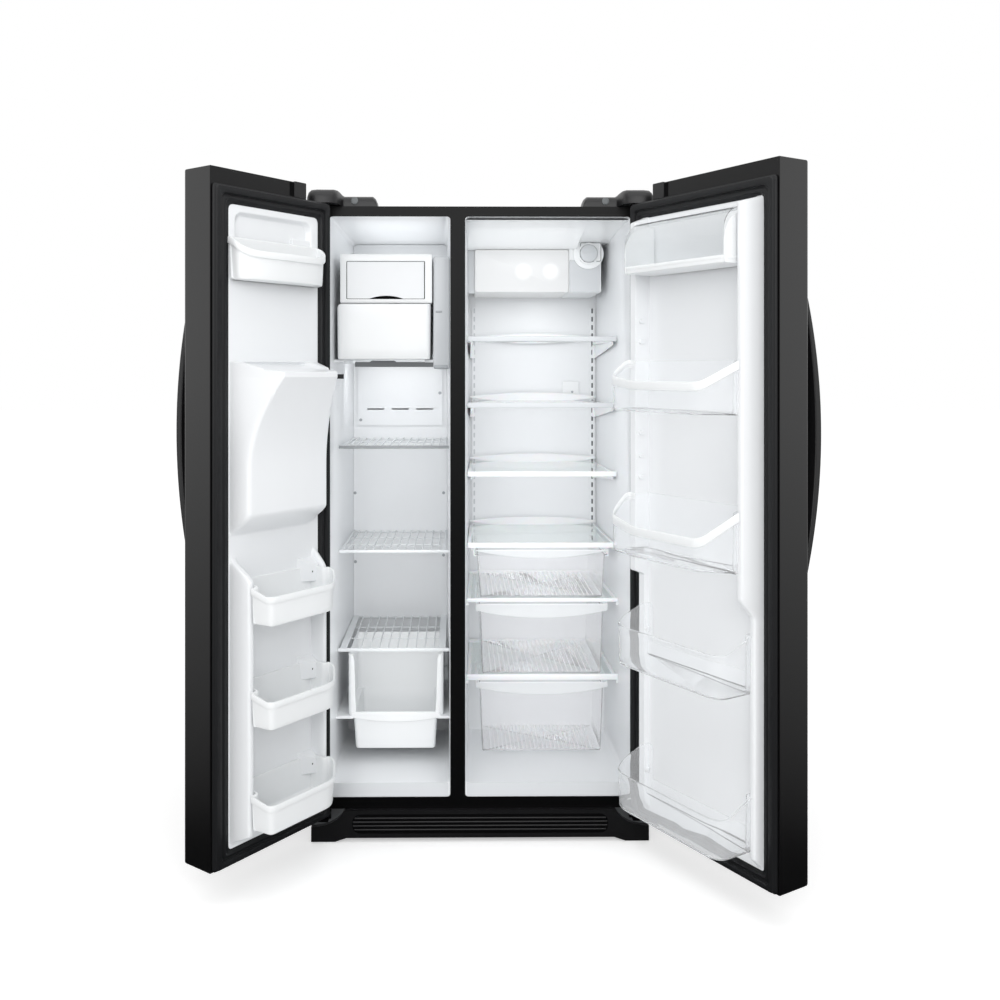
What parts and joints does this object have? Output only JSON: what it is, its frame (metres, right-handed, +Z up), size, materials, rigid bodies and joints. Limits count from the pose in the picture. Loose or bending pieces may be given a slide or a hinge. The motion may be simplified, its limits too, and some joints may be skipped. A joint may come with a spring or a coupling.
{
  "type": "side by side refrigerator",
  "caption": "Free-standing refrigerator with freezer and fresh food sides, two open doors with bins, shelves, drawers, ice maker and dispenser.",
  "frame": {"origin": "on the floor, in the middle of the area that the object covers with both doors as open as at rest", "axes": "+Z up, +X towards the fresh food side, +Y towards the back, so the front faces -Y"},
  "size_m": [1.5318, 1.194, 1.7461],
  "materials": {
    "black_enamel": "fine textured enamel, half gloss",
    "galvanised_steel": "galvanised sheet",
    "white_plastic": "moulded white lining plastic, half gloss",
    "clear_plastic": "clear moulded plastic",
    "shelf_glass": "clear glass plate in a white frame",
    "black_plastic": "moulded black plastic, satin",
    "grey_plastic": "moulded grey plastic",
    "seal_rubber": "soft extruded seal",
    "coated_wire": "steel wire with a white coat",
    "copper": "drawn copper tube",
    "motor_black": "black painted steel"
  },
  "bodies": {
    "cabinet": {"cabinet_wrapper": "black_enamel", "front_frame": "black_enamel", "freezer_liner": "white_plastic", "fresh_food_liner": "white_plastic", "toe_grille": "black_plastic", "base_pan": "galvanised_steel", "machine_cover": "black_enamel", "compressor": "motor_black", "condenser_coil": "copper", "evaporator_coil": "galvanised_steel", "evaporator_cover": "white_plastic", "ice_maker_cover": "white_plastic", "freezer_light_cover": "grey_plastic", "freezer_shelf_upper": "coated_wire", "freezer_shelf_lower": "coated_wire", "basket_shelf": "coated_wire", "control_housing": "white_plastic", "shelf_upper": "shelf_glass", "shelf_middle": "shelf_glass", "shelf_lower": "shelf_glass", "deli_shelf": "shelf_glass", "crisper_shelf_upper": "shelf_glass", "crisper_shelf_lower": "shelf_glass", "front_foot_left": "black_plastic", "front_foot_right": "black_plastic", "top_hinge_left": "black_plastic", "top_hinge_right": "black_plastic", "bottom_hinge_left": "black_enamel", "bottom_hinge_right": "black_enamel"},
    "freezer_door": {"freezer_door_shell": "black_enamel", "freezer_door_liner": "white_plastic", "freezer_door_gasket": "seal_rubber", "freezer_door_handle": "black_plastic", "freezer_door_bin_1": "white_plastic", "freezer_door_bin_2": "white_plastic", "freezer_door_bin_3": "white_plastic", "freezer_door_bin_4": "white_plastic", "dispenser_housing": "black_plastic"},
    "fresh_food_door": {"fresh_door_shell": "black_enamel", "fresh_door_liner": "white_plastic", "fresh_door_gasket": "seal_rubber", "fresh_door_handle": "black_plastic", "fresh_door_bin_1": "clear_plastic", "fresh_door_bin_2": "clear_plastic", "fresh_door_bin_3": "clear_plastic", "fresh_door_bin_4": "clear_plastic", "dairy_tray": "clear_plastic"},
    "condenser_fan": {"condenser_fan": "black_plastic"},
    "evaporator_fan": {"evaporator_fan": "black_plastic"},
    "ice_maker_flap": {"ice_maker_flap": "white_plastic"},
    "ice_bin": {"ice_bin": "white_plastic"},
    "freezer_basket": {"freezer_basket": "white_plastic"},
    "water_filter": {"water_filter": "white_plastic"},
    "deli_drawer": {"deli_drawer": "clear_plastic"},
    "crisper_upper": {"crisper_upper": "clear_plastic"},
    "crisper_lower": {"crisper_lower": "clear_plastic"},
    "rear_roller_left": {"rear_roller_left": "black_plastic"},
    "rear_roller_right": {"rear_roller_right": "black_plastic"},
    "dispenser_paddle": {"dispenser_paddle": "grey_plastic"},
    "dairy_lid": {"dairy_lid": "clear_plastic"}
  },
  "joints": [
    {"name": "freezer_door_hinge", "type": "hinge", "parent": "cabinet", "child": "freezer_door", "pos_m": [-0.45215, -0.14697, 0.9], "axis": [0, 0, -1], "range_deg": [-127.17, 2.8]},
    {"name": "fresh_food_door_hinge", "type": "hinge", "parent": "cabinet", "child": "fresh_food_door", "pos_m": [0.41585, -0.14697, 0.9], "axis": [0, 0, 1], "range_deg": [-120.89, 9.1]},
    {"name": "ice_maker_flap_hinge", "type": "hinge", "parent": "cabinet", "child": "ice_maker_flap", "pos_m": [-0.27815, -0.02177, 1.564], "axis": [-1, 0, 0], "range_deg": [0, 80]},
    {"name": "ice_bin_slide", "type": "slide", "parent": "cabinet", "child": "ice_bin", "axis": [0, -1, 0], "range_m": [0, 0.3]},
    {"name": "freezer_basket_slide", "type": "slide", "parent": "cabinet", "child": "freezer_basket", "axis": [0, -1, 0], "range_m": [0, 0.22]},
    {"name": "water_filter_turn", "type": "hinge", "parent": "cabinet", "child": "water_filter", "pos_m": [0.31845, 0.34703, 1.618], "axis": [0, 1, 0], "range_deg": [0, 90]},
    {"name": "deli_drawer_slide", "type": "slide", "parent": "cabinet", "child": "deli_drawer", "axis": [0, -1, 0], "range_m": [0, 0.3]},
    {"name": "crisper_upper_slide", "type": "slide", "parent": "cabinet", "child": "crisper_upper", "axis": [0, -1, 0], "range_m": [0, 0.3]},
    {"name": "crisper_lower_slide", "type": "slide", "parent": "cabinet", "child": "crisper_lower", "axis": [0, -1, 0], "range_m": [0, 0.18]},
    {"name": "rear_roller_left_spin", "type": "hinge", "parent": "cabinet", "child": "rear_roller_left", "pos_m": [-0.41415, 0.53703, 0.02], "axis": [1, 0, 0], "continuous": true},
    {"name": "rear_roller_right_spin", "type": "hinge", "parent": "cabinet", "child": "rear_roller_right", "pos_m": [0.37785, 0.53703, 0.02], "axis": [1, 0, 0], "continuous": true},
    {"name": "condenser_fan_spin", "type": "hinge", "parent": "cabinet", "child": "condenser_fan", "pos_m": [-0.00815, 0.45703, 0.145], "axis": [1, 0, 0], "continuous": true},
    {"name": "evaporator_fan_spin", "type": "hinge", "parent": "cabinet", "child": "evaporator_fan", "pos_m": [-0.2611, 0.48903, 0.98], "axis": [0, 1, 0], "continuous": true},
    {"name": "dispenser_paddle_hinge", "type": "hinge", "parent": "freezer_door", "child": "dispenser_paddle", "pos_m": [-0.47446, -0.13005, 1.191], "axis": [-0.6042, -0.7968, 0], "range_deg": [0, 12], "stiffness_Nm_per_rad": 0.6},
    {"name": "dairy_lid_hinge", "type": "hinge", "parent": "fresh_food_door", "child": "dairy_lid", "pos_m": [0.3993, -0.2128, 1.629], "axis": [-0.5134, 0.8582, 0], "range_deg": [0, 75]}
  ]
}
